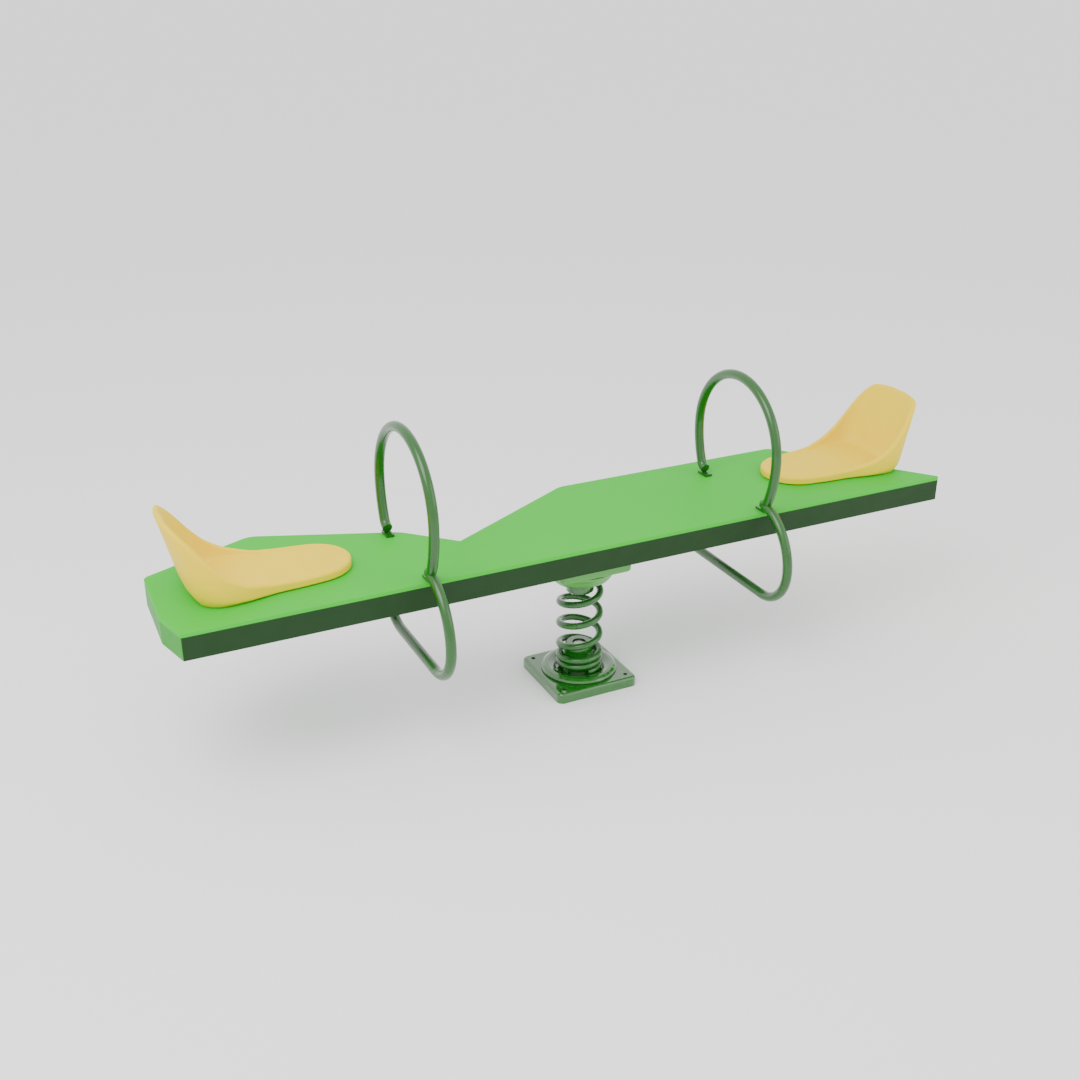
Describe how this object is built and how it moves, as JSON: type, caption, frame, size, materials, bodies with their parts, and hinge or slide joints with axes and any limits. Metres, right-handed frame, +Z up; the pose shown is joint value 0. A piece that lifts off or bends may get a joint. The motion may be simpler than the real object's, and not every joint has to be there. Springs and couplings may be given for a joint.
{
  "type": "seesaw",
  "caption": "Playground spring seesaw: a long flat deck on a coil spring and square ground base, with hooped handles, foot loops and moulded bucket seats at the ends.",
  "frame": {"origin": "middle of the base's underside, on the spring's axis", "axes": "+Z up; +X along the deck; +Y across the deck, away from its straight long edge"},
  "size_m": [2.4768, 0.6529, 0.9159],
  "materials": {
    "deck_green": "solid-coloured plastic board, light green, satin",
    "edge_green": "solid-coloured plastic board, dark green, satin",
    "end_green": "solid-coloured plastic board, mid green, satin",
    "tube_green": "glossy dark green powder coat",
    "mount_green": "satin mid green powder coat",
    "spring_green": "glossy dark green powder coat",
    "base_green": "very glossy dark green powder coat",
    "seat_yellow": "moulded bright yellow plastic",
    "galvanised_frame": "galvanised steel",
    "zinc_steel": "zinc-plated steel"
  },
  "bodies": {
    "base": {"base_cover": "base_green", "base_plate": "galvanised_frame", "base_spacers": "galvanised_frame", "base_ring": "base_green", "lower_plug": "base_green", "lower_centre_bolt": "zinc_steel"},
    "spring": {"main_spring": "spring_green"},
    "beam": {"cross_bar_handle_left": "galvanised_frame", "cross_bar_handle_right": "galvanised_frame", "cross_bar_mount_left": "galvanised_frame", "cross_bar_mount_right": "galvanised_frame", "cross_bar_seat_left": "galvanised_frame", "cross_bar_seat_right": "galvanised_frame", "deck_panel": "deck_green", "far_board_left": "edge_green", "far_board_right": "edge_green", "far_plate_left": "tube_green", "far_plate_right": "tube_green", "foot_loop_left": "tube_green", "foot_loop_right": "tube_green", "handle_ring_left": "tube_green", "handle_ring_right": "tube_green", "hook_block_left": "tube_green", "hook_block_right": "tube_green", "left_end_board": "end_green", "left_end_board_near": "end_green", "left_slant_board": "edge_green", "mount_bolts": "zinc_steel", "mount_box": "mount_green", "near_board": "edge_green", "near_plate_left": "tube_green", "near_plate_right": "tube_green", "notch_board_left": "edge_green", "notch_board_right": "edge_green", "rail_far_left": "galvanised_frame", "rail_far_right": "galvanised_frame", "rail_middle": "galvanised_frame", "rail_near": "galvanised_frame", "right_slant_board": "edge_green", "seat_bolts_left": "zinc_steel", "seat_bolts_right": "zinc_steel", "seat_left": "seat_yellow", "seat_right": "seat_yellow", "upper_centre_bolt": "zinc_steel", "upper_cup": "mount_green", "upper_plug": "base_green"}
  },
  "joints": [
    {"name": "sway", "type": "hinge", "parent": "base", "child": "spring", "pos_m": [0, 0, 0.16], "axis": [1, 0, 0], "range_deg": [-5, 5], "stiffness_Nm_per_rad": 1118, "springref_deg": 0.38, "deforming": ["main_spring"]},
    {"name": "rock", "type": "hinge", "parent": "spring", "child": "beam", "pos_m": [0, 0, 0.25], "axis": [0, 1, 0], "range_deg": [-14, 14], "stiffness_Nm_per_rad": 1118, "springref_deg": 1.47, "deforming": ["main_spring"]}
  ]
}
